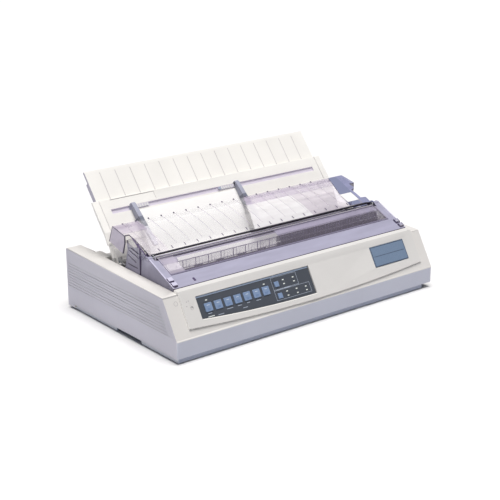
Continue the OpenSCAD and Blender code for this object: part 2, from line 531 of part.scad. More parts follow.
module tractor_lid(x, s) difference() {
  union() {
    bx([s>0?x-4.6:x-9.4,203,77.2],[s>0?x+9.4:x+4.6,236,79.2]);
    translate([x+s*9.4,203,78]) rotate([-90,0,0]) cylinder(h=33,r=1.5);
  }
  translate([x+s*9.4,198,78]) rotate([-90,0,0]) cylinder(h=40,r=0.76);
}
module tractor_left() color(black) fr_() tractor(-192,-1);
module tractor_right() color(black) fr_() tractor(196,1);
module tractor_lid_left() color([0.2,0.2,0.22]) fr_() tractor_lid(-192,-1);
module tractor_lid_right() color([0.2,0.2,0.22]) fr_() tractor_lid(196,1);

// ---------------------------------------------------------------- carriage
module carriage() color(black) fr_() translate([head_x,0,0]) difference() {
  union() {
    bx([-30,83,31],[30,101,63]);
    bx([-50,62,61],[50,104,64]);
    bx([-20,54,58.4],[20,63,64]);
    bx([-20,52.5,52.6],[20,66,55.6]); bx([-20,62.5,55.5],[20,66,61.1]);
    bx([-9,73.4,26],[9,84,61.1]);
  }
  xcyl(-40,40,H,rod_r+0.07);
  bx([-20,75.6,20],[20,78.4,33.6]);
}
module print_head() color([0.25,0.25,0.27]) fr_() translate([head_x,0,0]) union() {
  bx([-17,68,64.05],[17,103,78.6]);
  for (i=[0:6]) bx([-24,69+i*5,66],[24,71.4+i*5,78.6]);
  xp(-4,4) polygon([[103,66],[103,78],[117.4,76],[117.4,71]]);
}
module ribbon_cartridge() color([0.14,0.14,0.15]) fr_() translate([head_x,0,0]) union() {
  difference() {
    bx([-58,58,79],[58,103,91]);
    bx([-12,64,78],[12,104,89]);
  }
  for (x=[-37,31]) bx([x,102.9,72],[x+6,114,88]);
  for (x=[-37,34]) bx([x,113.9,71.6],[x+3,118.1,79.4]);
  bx([-34.2,117.85,72.2],[34.2,118.05,78.8]);
}
module ribbon_knob() color([0.75,0.75,0.76]) fr_() translate([head_x-38,72,91.3]) difference() {
  cylinder(h=5.4,r=7.5);
  for (i=[0:11]) translate([8*cos(i*30),8*sin(i*30),-1]) cylinder(h=8,r=1.1,$fn=16);
}

// ---------------------------------------------------------------- levers
module paper_lever() color([0.42,0.50,0.62]) fr_() difference() {
  union() {
    xp(254.4,257.4) polygon([LP+[-5,2],LP+[5,2],LP+[4,46],LP+[-4,46]]);
    xp(254.4,275.4) polygon([[186.4,79],[193.6,79],[193,90],[187,90]]);
    xcyl(251.4,257.4,LP,7);
  }
  xcyl(240,262,LP,3.06);
}
module power_rocker() color(black) fr_() translate([hw-5,57,0]) rotate([0,0,-7]) union() {
  translate([0,0,18]) linear_extrude(16) polygon([[-3,-7],[0.5,-11.4],[3,-11.6],[2.1,0],[3,11.6],[0.5,11.4],[-3,7]]);
  translate([0,0,15.6]) cylinder(h=20.8,r=1.3);
}
module head_gap_lever() color([0.42,0.50,0.62]) fr_() difference() {
  union() {
    xcyl(236.2,238.6,H,11);
    xp(236.2,238.6) polygon([[83,44],[92,52],[65,90],[57,86]]);
    xp(236.2,238.6) polygon([[57,86],[65,90],[63.5,93],[56,92]]);
  }
  xcyl(235,240,H,rod_r+0.08);
}

lower_case();
upper_case();
front_bezel();
control_sheet();
badge_plate();
control_board();
side_frame_left();
side_frame_right();
carriage_shaft();
carriage_rail();
paper_plates();
space_motor();
timing_belt();
feed_motor();
main_board();
power_supply();
power_inlet();
parallel_connector();
rubber_feet();
case_screws();
cover_brackets();
pull_up_strip();
tractor_support_shaft();
paper_sheet();
access_cover();
rear_cover();
sheet_guide();
paper_support();
paper_guide_left();
paper_guide_right();
platen();
platen_shaft();
platen_gear();
platen_knob();
pull_up_roller();
idle_gear();
feed_pinion();
tractor_drive_shaft();
tractor_left();
tractor_right();
tractor_lid_left();
tractor_lid_right();
carriage();
print_head();
ribbon_cartridge();
ribbon_knob();
drive_pulley();
idler_pulley();
paper_lever();
head_gap_lever();
power_rocker();
key_1();
key_2();
key_3();
key_4();
key_5();
key_6();
key_7();
small_key_1();
small_key_2();
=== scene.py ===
import bpy, bmesh, json, math, random
from mathutils import Vector, Matrix, noise


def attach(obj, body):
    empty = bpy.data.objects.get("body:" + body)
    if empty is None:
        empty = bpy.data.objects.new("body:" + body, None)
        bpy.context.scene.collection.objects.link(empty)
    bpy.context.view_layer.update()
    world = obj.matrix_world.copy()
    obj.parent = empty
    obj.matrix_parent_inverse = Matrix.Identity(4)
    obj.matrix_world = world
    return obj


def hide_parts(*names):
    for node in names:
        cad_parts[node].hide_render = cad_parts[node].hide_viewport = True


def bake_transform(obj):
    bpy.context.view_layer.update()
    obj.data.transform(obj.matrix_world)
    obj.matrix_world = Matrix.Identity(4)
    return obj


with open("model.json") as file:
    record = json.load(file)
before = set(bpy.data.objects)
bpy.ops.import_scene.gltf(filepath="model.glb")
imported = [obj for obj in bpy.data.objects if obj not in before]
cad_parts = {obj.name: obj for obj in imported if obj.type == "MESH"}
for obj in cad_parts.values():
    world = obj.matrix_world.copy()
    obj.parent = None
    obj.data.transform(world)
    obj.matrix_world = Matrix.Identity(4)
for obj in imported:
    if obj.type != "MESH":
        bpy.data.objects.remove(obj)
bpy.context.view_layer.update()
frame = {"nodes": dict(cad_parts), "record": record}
scene = bpy.context.scene
random.seed(7)
MM = 0.001
D = 158.5                       # the front of the case is at y = -158.5 mm


def V(x, y, z):
    """A point given in the case's own millimetres: y from the front, z from the ground."""
    return Vector((x * MM, (y - D) * MM, z * MM))


# ------------------------------------------------------------------ camera and light
cam_data = bpy.data.cameras.new("camera")
cam = bpy.data.objects.new("camera", cam_data)
scene.collection.objects.link(cam)
cam_data.sensor_width = 36
cam_data.lens = 89.08
cam_data.clip_start, cam_data.clip_end = 0.05, 60
cam.location = (-1.2658, -1.5670, 0.76183)
az, el, roll = math.radians(-38.757), math.radians(18.571), math.radians(0.066)
back = Vector((math.sin(az) * math.cos(el), -math.cos(az) * math.cos(el), math.sin(el)))
cam.rotation_mode = "QUATERNION"
cam.rotation_quaternion = (-back).to_track_quat("-Z", "Y") @ Matrix.Rotation(-roll, 4, "Z").to_quaternion()
scene.camera = cam

world = bpy.data.worlds.new("studio")
scene.world = world
world.use_nodes = True
world.node_tree.nodes["Background"].inputs[0].default_value = (0.66, 0.76, 1.0, 1)
world.node_tree.nodes["Background"].inputs[1].default_value = 0.13


def sun(name, toward, energy, spread, color=(1, 1, 1)):
    """A broad soft light from far off, so the floor is lit evenly; spread is its width in degrees."""
    d = bpy.data.lights.new(name, "SUN")
    d.energy, d.color, d.angle = energy, color, math.radians(spread)
    o = bpy.data.objects.new(name, d)
    scene.collection.objects.link(o)
    o.location = Vector(toward) * 3
    o.rotation_mode = "QUATERNION"
    o.rotation_quaternion = (-Vector(toward)).to_track_quat("-Z", "Y")
    return o


sun("key_light", (-0.02, -0.05, 1.0), 4.15, 44, (1.0, 0.98, 0.955))
scene.view_settings.view_transform = "Standard"
scene.view_settings.look = "None"

# ------------------------------------------------------------------ materials


def new_mat(name):
    m = bpy.data.materials.new(name)
    m.use_nodes = True
    nt = m.node_tree
    return m, nt, nt.nodes["Principled BSDF"]


def nd(nt, kind, **sockets):
    n = nt.nodes.new(kind)
    for k, v in sockets.items():
        n.inputs[k].default_value = v
    return n


def coords(nt, scale=(1, 1, 1)):
    tc = nt.nodes.new("ShaderNodeTexCoord")
    mp = nt.nodes.new("ShaderNodeMapping")
    mp.inputs["Scale"].default_value = scale
    nt.links.new(tc.outputs["Object"], mp.inputs["Vector"])
    return mp.outputs["Vector"]


def noise_node(nt, vec, scale, detail=3.0, rough=0.5):
    n = nt.nodes.new("ShaderNodeTexNoise")
    n.inputs["Scale"].default_value = scale
    n.inputs["Detail"].default_value = detail
    n.inputs["Roughness"].default_value = rough
    nt.links.new(vec, n.inputs["Vector"])
    return n.outputs["Fac"]


def ramp(nt, fac, stops):
    r = nt.nodes.new("ShaderNodeValToRGB")
    while len(r.color_ramp.elements) < len(stops):
        r.color_ramp.elements.new(0.5)
    for e, (p, c) in zip(r.color_ramp.elements, stops):
        e.position = p
        e.color = (*c, 1) if len(c) == 3 else c
    nt.links.new(fac, r.inputs["Fac"])
    return r.outputs["Color"]


def shade(c, k):
    return tuple(min(1, max(0, v * k)) for v in c)


def remap(nt, fac, lo, hi, a=0.3, b=0.7):
    m = nt.nodes.new("ShaderNodeMapRange")
    m.inputs["From Min"].default_value, m.inputs["From Max"].default_value = a, b
    m.inputs["To Min"].default_value, m.inputs["To Max"].default_value = lo, hi
    nt.links.new(fac, m.inputs["Value"])
    return m.outputs["Result"]


def bump(nt, height, strength, dist, normal=None):
    b = nt.nodes.new("ShaderNodeBump")
    b.inputs["Strength"].default_value = strength
    b.inputs["Distance"].default_value = dist
    nt.links.new(height, b.inputs["Height"])
    if normal:
        nt.links.new(normal, b.inputs["Normal"])
    return b.outputs["Normal"]


def mix(nt, fac, a, b):
    """fac, a and b are sockets or values."""
    m = nt.nodes.new("ShaderNodeMix")
    m.data_type = "RGBA"
    for key, val in ((0, fac), (6, a), (7, b)):
        if isinstance(val, bpy.types.NodeSocket):
            nt.links.new(val, m.inputs[key])
        else:
            m.inputs[key].default_value = val if key == 0 else (*val, 1)
    return m.outputs[2]


def plastic(name, col, rough=0.42, grain=1400, depth=0.00003, vary=0.03, edge=0.05, spec=0.5, tint=None):
    """Moulded plastic: a fine spark texture, a faint cloudiness, and convex edges coloured a little lighter."""
    m, nt, p = new_mat(name)
    v = coords(nt)
    cloud = noise_node(nt, v, 9, 4, 0.55)
    fine = noise_node(nt, v, grain, 2, 0.6)
    c = ramp(nt, cloud, [(0.3, shade(col, 1 - vary)), (0.7, tint or shade(col, 1 + vary))])
    geo = nt.nodes.new("ShaderNodeNewGeometry")
    pt = remap(nt, geo.outputs["Pointiness"], 0, 1, 0.515, 0.6)
    mm_ = nt.nodes.new("ShaderNodeMath"); mm_.operation = "MULTIPLY"
    nt.links.new(pt, mm_.inputs[0]); mm_.inputs[1].default_value = edge * 8
    c = mix(nt, mm_.outputs[0], c, shade(col, 1.18))
    nt.links.new(c, p.inputs["Base Color"])
    nt.links.new(remap(nt, fine, rough - 0.05, rough + 0.07), p.inputs["Roughness"])
    nt.links.new(bump(nt, fine, 0.35, depth), p.inputs["Normal"])
    p.inputs["Specular IOR Level"].default_value = spec
    return m


def metal(name, col, rough=0.3, stretch=(1, 1, 1), scale=400, depth=0.00001, metallic=1.0):
    m, nt, p = new_mat(name)
    v = coords(nt, stretch)
    lines = noise_node(nt, v, scale, 4, 0.65)
    cloud = noise_node(nt, coords(nt), 25, 3)
    nt.links.new(ramp(nt, lines, [(0.3, shade(col, 0.86)), (0.7, shade(col, 1.08))]), p.inputs["Base Color"])
    nt.links.new(remap(nt, cloud, rough - 0.07, rough + 0.1), p.inputs["Roughness"])
    nt.links.new(bump(nt, lines, 0.25, depth), p.inputs["Normal"])
    p.inputs["Metallic"].default_value = metallic
    return m


def clear(name, col, alpha, rough=0.08, frost=0.0, streak=True):
    """Tinted clear moulding: colour, faint flow lines and a light surface ripple."""
    m, nt, p = new_mat(name)
    v = coords(nt, (1.0, 6.0, 6.0))
    flow = noise_node(nt, v, 14, 4, 0.6)
    fine = noise_node(nt, coords(nt), 900, 2, 0.5)
    nt.links.new(ramp(nt, flow, [(0.25, shade(col, 0.90)), (0.75, shade(col, 1.10))]), p.inputs["Base Color"])
    nt.links.new(remap(nt, fine, rough, rough + 0.05 + 0.3 * frost), p.inputs["Roughness"])
    nt.links.new(bump(nt, fine if frost else flow, 0.2 if frost else 0.12, 0.00003 if frost else 0.0002), p.inputs["Normal"])
    p.inputs["Alpha"].default_value = alpha
    p.inputs["Specular IOR Level"].default_value = 0.6
    return m


M = {}
CREAM = (0.67, 0.65, 0.625)
M["cream"] = plastic("case_cream", CREAM, 0.44, 1500, 0.00004)
M["cream_smooth"] = plastic("guide_cream", (0.86, 0.84, 0.80), 0.38, 1700, 0.00002)
M["bezel"] = plastic("bezel_cream", (0.655, 0.64, 0.62), 0.40, 1500, 0.00003)
M["base"] = plastic("base_grey", (0.35, 0.385, 0.49), 0.5, 1300, 0.00004)
M["film"] = plastic("panel_film", (0.070, 0.078, 0.094), 0.35, 2600, 0.00001, 0.05, 0.0)
M["key"] = plastic("key_blue", (0.20, 0.275, 0.42), 0.36, 2200, 0.00001, 0.03, 0.08)
M["badge"] = plastic("badge_blue", (0.165, 0.225, 0.32), 0.28, 3000, 0.000004, 0.04, 0.1)
M["guide"] = plastic("guide_blue", (0.33, 0.34, 0.42), 0.4, 1700, 0.00002)
M["black"] = plastic("black_plastic", (0.03, 0.03, 0.036), 0.42, 1500, 0.00002, 0.1, 0.05)
M["ribbon_black"] = plastic("cartridge_black", (0.045, 0.04, 0.06), 0.36, 1500, 0.00002, 0.1, 0.05)
M["natural"] = plastic("gear_plastic", (0.70, 0.67, 0.58), 0.38, 1700, 0.00001)
M["led"] = plastic("lamp_window", (0.80, 0.84, 0.80), 0.25, 3000, 0.000004, 0.02, 0.0)
M["print"] = plastic("printed_line", (0.42, 0.47, 0.56), 0.4, 3000, 0.000004, 0.02, 0.0)
M["rubber"] = plastic("platen_rubber", (0.022, 0.022, 0.026), 0.62, 900, 0.00004, 0.15, 0.0, 0.3)
M["foot"] = plastic("foot_rubber", (0.03, 0.03, 0.035), 0.75, 700, 0.00008, 0.15, 0.0, 0.3)
M["belt"] = plastic("belt_rubber", (0.02, 0.02, 0.022), 0.7, 800, 0.00005, 0.15, 0.0, 0.3)
M["steel"] = metal("zinc_steel", (0.60, 0.61, 0.64), 0.34, (1, 6, 6), 220)
M["shaft"] = metal("ground_steel", (0.74, 0.75, 0.77), 0.2, (60, 1, 1), 80)
M["supply"] = metal("folded_sheet", (0.56, 0.57, 0.60), 0.4, (8, 1, 8), 150)
M["screw"] = metal("screw_steel", (0.5, 0.5, 0.52), 0.32)
M["brass"] = metal("brass_pinion", (0.72, 0.53, 0.24), 0.28)
M["motor"] = metal("motor_black", (0.05, 0.05, 0.055), 0.45, (1, 1, 1), 300, 0.00002, 0.4)
M["board"] = plastic("board_green", (0.02, 0.11, 0.055), 0.3, 1200, 0.00002, 0.2, 0.0)
M["chip"] = plastic("chip_black", (0.02, 0.02, 0.022), 0.5, 2200, 0.00002, 0.1, 0.0)
M["clear"] = clear("clear_smoke", (0.42, 0.37, 0.48), 0.12)
M["clear_thin"] = clear("clear_smoke_light", (0.80, 0.76, 0.82), 0.13)
M["frost"] = clear("frosted_smoke", (0.37, 0.36, 0.475), 0.90, 0.28, 1.0)
M["edge"] = clear("clear_edge", (0.10, 0.075, 0.15), 0.88, 0.15)
M["cheek"] = clear("clear_cheek", (0.46, 0.44, 0.58), 0.55)
M["legend"] = plastic("key_legend", (0.11, 0.18, 0.34), 0.4, 2600, 0.000004, 0.02, 0.0)
M["badge_dark"] = plastic("badge_line", (0.05, 0.07, 0.11), 0.4, 2600, 0.000004, 0.02, 0.0)
M["groove"] = plastic("groove_shadow", (0.62, 0.59, 0.59), 0.6, 2000, 0.000004, 0.02, 0.0)
M["rib"] = clear("clear_rib", (0.62, 0.53, 0.70), 0.55, 0.15)
M["haze"] = clear("clear_haze", (0.80, 0.74, 0.81), 0.38)
M["band"] = clear("clear_band", (0.64, 0.57, 0.69), 0.40)
M["band_left"] = clear("clear_band_left", (0.62, 0.55, 0.66), 0.45)
M["haze_left"] = clear("clear_haze_left", (0.80, 0.74, 0.80), 0.25)
M["haze_paper"] = clear("clear_over_paper", (0.92, 0.90, 0.93), 0.09)
# painted shadow: near-black for the dark gap between the covers at the paper exit
M["seal"] = plastic("dark_seal", (0.025, 0.02, 0.035), 0.4, 1500, 0.00001, 0.1, 0.0)
M["rim"] = clear("clear_rim", (0.24, 0.22, 0.31), 0.8, 0.15)
M["rim_top"] = clear("clear_rim_top", (0.52, 0.48, 0.60), 0.55, 0.15)
M["window_rear"] = clear("clear_window_rear", (0.47, 0.43, 0.56), 0.50)
M["window_left"] = clear("clear_window_left", (0.58, 0.53, 0.63), 0.42)
M["rim_rear"] = clear("clear_rim_rear", (0.26, 0.235, 0.32), 0.75, 0.15)
M["glare"] = clear("clear_glare", (0.93, 0.90, 0.92), 0.50)
# painted shade: a dark strip face where the interior behind lies in shade
M["strip_dark"] = clear("strip_over_painted_shade", (0.06, 0.058, 0.095), 0.80)
# painted highlight: a light strip for the glint along the access cover's rear rim
M["rim_light"] = clear("clear_rim_light", (0.93, 0.90, 0.82), 0.9, 0.15)
# painted light: stands for the lit upper wall of the control-sheet recess
M["strip"] = plastic("recess_wall_painted_light", (0.33, 0.40, 0.52), 0.4, 1500, 0.00001, 0.03, 0.0)
# painted highlight: the glint on the rounded lower edge of the recess
M["rim_cream"] = plastic("recess_rim_painted_highlight", (0.95, 0.93, 0.88), 0.4, 1500, 0.00001, 0.02, 0.0)
M["shade"] = plastic("cover_inner_shade", (0.185, 0.20, 0.31), 0.45, 1500, 0.00001, 0.05, 0.0)
M["label"] = plastic("blank_label", (0.80, 0.79, 0.77), 0.6, 2200, 0.00001, 0.03, 0.0)
M["tab"] = clear("clear_tab", (0.60, 0.58, 0.72), 0.95, 0.2)
M["side_band"] = clear("clear_side_band", (0.29, 0.30, 0.46), 0.86, 0.2, 0.5)
M["rear_cheek"] = clear("clear_rear_cheek", (0.58, 0.52, 0.66), 0.62, 0.15)
M["line"] = plastic("cover_edge_line", (0.055, 0.045, 0.09), 0.4, 1500, 0.00001, 0.1, 0.0)
M["mark"] = plastic("case_mark", (0.38, 0.36, 0.37), 0.5, 1500, 0.00001, 0.03, 0.0)
M["plate"] = plastic("plate_lilac", (0.50, 0.47, 0.58), 0.4, 1500, 0.00001, 0.05, 0.03)
# painted shade and painted light: the slot floor takes a shaded lilac-grey and a faint glow
M["slot_floor_painted_shade_glow"] = plastic("slot_floor_painted_shade_glow", (0.60, 0.56, 0.63), 0.5, 1500, 0.00001, 0.03, 0.0)
M["comb"] = plastic("comb_cream", (0.74, 0.73, 0.72), 0.45, 1500, 0.00001, 0.03, 0.0)
M["comb_gap"] = plastic("comb_gap", (0.60, 0.58, 0.64), 0.5, 1500, 0.00001, 0.03, 0.0)


# the glow is painted light, so the slot reads evenly without its own shadow
M["slot_floor_painted_shade_glow"].node_tree.nodes["Principled BSDF"].inputs["Emission Color"].default_value = (0.62, 0.57, 0.66, 1)
M["slot_floor_painted_shade_glow"].node_tree.nodes["Principled BSDF"].inputs["Emission Strength"].default_value = 0.16
# painted light: the slot's down-facing walls and the bezel's left side are lighter and glow, so their shadows read
# light
M["slot_edge_painted_glow"] = plastic("slot_edge_painted_glow", (0.62, 0.57, 0.64), 0.5, 1500, 0.00001, 0.03, 0.0)
M["bezel_edge_painted_glow"] = plastic("bezel_edge_painted_glow", (0.80, 0.78, 0.75), 0.4, 1500, 0.00002)
for key_, col_, k_ in (("slot_edge_painted_glow", (0.62, 0.57, 0.64), 0.85), ("bezel_edge_painted_glow", (0.80, 0.78, 0.75), 0.22)):
    M[key_].node_tree.nodes["Principled BSDF"].inputs["Emission Color"].default_value = (*col_, 1)
    M[key_].node_tree.nodes["Principled BSDF"].inputs["Emission Strength"].default_value = k_
# painted shade: cooler, darker copies of the cream for the case's left side and front band
M["cream_side"] = plastic("case_cream_side", (0.594, 0.582, 0.655), 0.44, 1500, 0.00004)
M["cream_front"] = plastic("case_cream_front", (0.54, 0.555, 0.645), 0.44, 1500, 0.00004)
M["guide_dark"] = plastic("guide_blue_dark", (0.15, 0.16, 0.21), 0.4, 1700, 0.00002)
M["guide_pale"] = plastic("guide_blue_pale", (0.60, 0.60, 0.66), 0.4, 1700, 0.00002)
# painted shade: a darker copy of the cream for the support's shaded left flange
M["support_painted_shade_side"] = plastic("support_painted_shade_side", (0.46, 0.44, 0.53), 0.42, 1600, 0.00002)
M["key_text"] = plastic("key_text", (0.50, 0.57, 0.66), 0.4, 2600, 0.000004, 0.02, 0.0)
M["strip_line"] = plastic("strip_line", (0.33, 0.29, 0.43), 0.4, 1500, 0.00001, 0.03, 0.0)
M["strip_line_dark"] = plastic("strip_line_dark", (0.035, 0.03, 0.055), 0.4, 1500, 0.00001, 0.03, 0.0)
M["strip_rib"] = plastic("strip_rib", (0.40, 0.36, 0.54), 0.4, 1500, 0.00001, 0.03, 0.0)
M["panel_line"] = plastic("panel_line", (0.72, 0.70, 0.69), 0.6, 2000, 0.000004, 0.02, 0.0)
# painted light: a lighter copy of the base grey for the plinth's shaded left faces
M["base_painted_light_side"] = plastic("base_painted_light_side", (0.60, 0.62, 0.69), 0.5, 1300, 0.00004)
# painted shade: the plates beside the sheet are coloured dark for the shade they lie in
M["plate_painted_shade"] = plastic("plate_painted_shade", (0.15, 0.145, 0.20), 0.4, 1500, 0.00001, 0.05, 0.03)
M["bracket_band"] = clear("bracket_band", (0.50, 0.52, 0.74), 0.95, 0.2)


def paper_mat():
    m, nt, p = new_mat("paper_painted_glow")
    v = coords(nt)
    fib = noise_node(nt, v, 700, 6, 0.7)
    cloud = noise_node(nt, v, 40, 3)
    c = ramp(nt, cloud, [(0.3, (0.83, 0.82, 0.805)), (0.7, (0.85, 0.84, 0.825))])
    nt.links.new(c, p.inputs["Base Color"])
    nt.links.new(remap(nt, fib, 0.8, 0.95), p.inputs["Roughness"])
    nt.links.new(bump(nt, fib, 0.3, 0.00002), p.inputs["Normal"])
    p.inputs["Specular IOR Level"].default_value = 0.25
    # painted light: a faint glow lifts the paper where it lies in shade under the covers
    p.inputs["Emission Color"].default_value = (0.97, 0.95, 0.94, 1)
    p.inputs["Emission Strength"].default_value = 0.15
    return m


M["paper"] = paper_mat()


def floor_mat():
    m, nt, p = new_mat("pale_floor")
    v = coords(nt)
    c = ramp(nt, noise_node(nt, v, 1.5, 3), [(0.3, (0.775, 0.772, 0.778)), (0.7, (0.79, 0.787, 0.792))])
    nt.links.new(c, p.inputs["Base Color"])
    nt.links.new(remap(nt, noise_node(nt, v, 60, 3), 0.7, 0.8), p.inputs["Roughness"])
    p.inputs["Specular IOR Level"].default_value = 0.2
    return m


M["floor"] = floor_mat()

# ------------------------------------------------------------------ geometry helpers
BODY_OF = {n: b for b, ns in frame["record"]["behaviour"]["bodies"].items() for n in ns}


def finish_mesh(bm, name, mats, smooth=32, bevel=True, segs=2, body=None, weld=True):
    me = bpy.data.meshes.new(name)
    bm.normal_update()
    bm.to_mesh(me)
    bm.free()
    for m in mats:
        me.materials.append(m)
    me.polygons.foreach_set("use_smooth", [True] * len(me.polygons))
    me.set_sharp_from_angle(angle=math.radians(smooth))
    o = bpy.data.objects.new(name, me)
    scene.collection.objects.link(o)
    if bevel:
        b = o.modifiers.new("edges", "BEVEL")
        b.limit_method = "WEIGHT"
        b.width = MM
        b.segments = segs
        b.use_clamp_overlap = False
        b.harden_normals = True
        b.miter_outer = "MITER_ARC" if segs > 2 else "MITER_SHARP"
    if body:
        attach(o, body)
    return o


def weights(bm, default, rules=(), ang=28):
    """Edge radii in mm, kept as bevel weights. A rule is (test(edge middle in mm, direction, edge), radius)."""
    lay = bm.edges.layers.float.get("bevel_weight_edge") or bm.edges.layers.float.new("bevel_weight_edge")
    for e in bm.edges:
        if len(e.link_faces) != 2:
            continue
        a = e.calc_face_angle(0)
        if a < math.radians(ang):
            continue
        w = default
        mid = (e.verts[0].co + e.verts[1].co) / 2 * 1000
        mid.y += D
        dr = (e.verts[1].co - e.verts[0].co)
        for test, val in rules:
            if test(mid, dr.normalized() if dr.length else dr, e):
                w = val
                break
        e[lay] = w


def cad_mesh(node, angle=0.5):
    bm = bmesh.new()
    bm.from_mesh(frame["nodes"][node].data)
    bmesh.ops.remove_doubles(bm, verts=bm.verts, dist=2e-6)
    bmesh.ops.dissolve_degenerate(bm, dist=1e-6, edges=bm.edges)
    if angle:
        bmesh.ops.dissolve_limit(bm, angle_limit=math.radians(angle), use_dissolve_boundaries=False,
                                 verts=bm.verts, edges=bm.edges)
    return bm


def from_cad(node, mats, default=0.25, rules=(), segs=2, face_rule=None, name=None, smooth=32, angle=0.5):
    bm = cad_mesh(node, angle)
    for f in bm.faces:
        f.material_index = 0
    if face_rule:
        for f in bm.faces:
            c = f.calc_center_median() * 1000
            c.y += D
            f.material_index = face_rule(c, f.normal, f)
    weights(bm, default, rules)
    o = finish_mesh(bm, name or node + "_shown", mats, smooth, default > 0 or bool(rules), segs, BODY_OF[node])
    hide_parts(node)
    return o


# ------------------------------------------------------------------ more geometry helpers
def cut(bm, axis, at):
    """Splits every face along a plane across one axis, at that many mm in the case's own numbers."""
    no = Vector((0, 0, 0)); no[axis] = 1
    co = Vector((0, 0, 0)); co[axis] = (at - (D if axis == 1 else 0)) * MM
    bmesh.ops.bisect_plane(bm, geom=bm.verts[:] + bm.edges[:] + bm.faces[:], plane_co=co, plane_no=no, dist=1e-6)


def prism(bm, pts, x0, x1, mat=0, tf=None):
    """A (y, z) outline in case mm, drawn out along x. tf maps a point (x, y, z) in mm to metres."""
    tf = tf or V
    lo_ = [bm.verts.new(tf(x0, *q)) for q in pts]
    hi_ = [bm.verts.new(tf(x1, *q)) for q in pts]
    n = len(pts)
    fs = [bm.faces.new(lo_[::-1]), bm.faces.new(hi_)]
    fs += [bm.faces.new((lo_[i], lo_[(i + 1) % n], hi_[(i + 1) % n], hi_[i])) for i in range(n)]
    for f in fs:
        f.material_index = mat
    bmesh.ops.recalc_face_normals(bm, faces=fs)
    return fs


SA = math.atan2(98.2 - 36.6, 36.5)


def on_slope(x, t, n):
    """x, t up the front slope, n outwards, in mm."""
    return V(x, t * math.cos(SA) - n * math.sin(SA), 36.6 + t * math.sin(SA) + n * math.cos(SA))


GT = math.radians(50.7)


def on_guide(x, s_, n):
    """x, s up the raised sheet guide, n towards the front, in mm."""
    return V(x, 236 + s_ * math.cos(GT) - n * math.sin(GT), 146 + s_ * math.sin(GT) + n * math.cos(GT))


def slab(bm, tf, a, b, mat=0):
    """A box between corners a and b in the numbers that tf takes."""
    (x0, y0, z0), (x1, y1, z1) = a, b
    vs = [bm.verts.new(tf(x, y, z)) for x in (x0, x1) for y in (y0, y1) for z in (z0, z1)]
    fs = [bm.faces.new([vs[i] for i in q]) for q in
          ((0, 1, 3, 2), (4, 6, 7, 5), (0, 4, 5, 1), (2, 3, 7, 6), (0, 2, 6, 4), (1, 5, 7, 3))]
    for f in fs:
        f.material_index = mat
    bmesh.ops.recalc_face_normals(bm, faces=fs)
    return fs


def disc(bm, tf, c, r, h, mat=0, n=24):
    """A round boss standing h proud at c, in the numbers that tf takes, with its axis along the third."""
    x, y, z = c
    lo_ = [bm.verts.new(tf(x + r * math.cos(i * 2 * math.pi / n), y + r * math.sin(i * 2 * math.pi / n), z)) for i in range(n)]
    hi_ = [bm.verts.new(tf(x + r * math.cos(i * 2 * math.pi / n), y + r * math.sin(i * 2 * math.pi / n), z + h)) for i in range(n)]
    fs = [bm.faces.new(lo_[::-1]), bm.faces.new(hi_)]
    fs += [bm.faces.new((lo_[i], lo_[(i + 1) % n], hi_[(i + 1) % n], hi_[i])) for i in range(n)]
    for f in fs:
        f.material_index = mat
    bmesh.ops.recalc_face_normals(bm, faces=fs)
    return fs


# ------------------------------------------------------------------ the pieces
def along(v, axis, k=0.98):
    return abs(v[axis]) > k


# upper case: generous radii on the outside, small ones at the slots
def out_edge(m, d, e):
    x, y, z = m
    if along(d, 0):
        return (abs(z - 98.2) < 0.3 and abs(y - 36.5) < 0.3) or (abs(y - 317) < 0.3 and z > 90)
    return abs(abs(x) - 276) < 0.2 and (z > 84 or y < 0.3 or abs((z - 36.6) - y * 61.6 / 36.5) < 0.4) and z > 10


# painted shade: left faces and the low front band take the shaded copies of the cream
def case_face(c, n_, f):
    if n_.x < -0.9 and c.x < -275:
        return 1
    return 2 if n_.y < -0.9 and c.z < 37 and c.y < 1 else 0


from_cad("upper_case", [M["cream"], M["cream_side"], M["cream_front"]], 0.18, [
    (lambda m, d, e: abs(abs(m.x) - 275.8) < 0.3 and 9.6 < m.z < 86 and not (abs(abs(m.x) - 276) < 0.05 and m.y < 0.3), 0.0),
    (lambda m, d, e: along(d, 0) and abs(m.y) < 0.2 and abs(m.z - 36.6) < 0.3, 1.6),
    (out_edge, 2.2),
    (lambda m, d, e: 96 < m.z < 107 and (abs(m.x + 247.3) < 0.2 or abs(m.x - 252.3) < 0.2 or abs(m.y - 47.5) < 0.2), 1.0),
    (lambda m, d, e: abs(m.z - 9) < 0.2 and (abs(abs(m.x) - 276) < 0.2 or abs(m.y) < 0.2 or abs(m.y - 317) < 0.2), 0.5),
], 3, angle=0, face_rule=case_face)

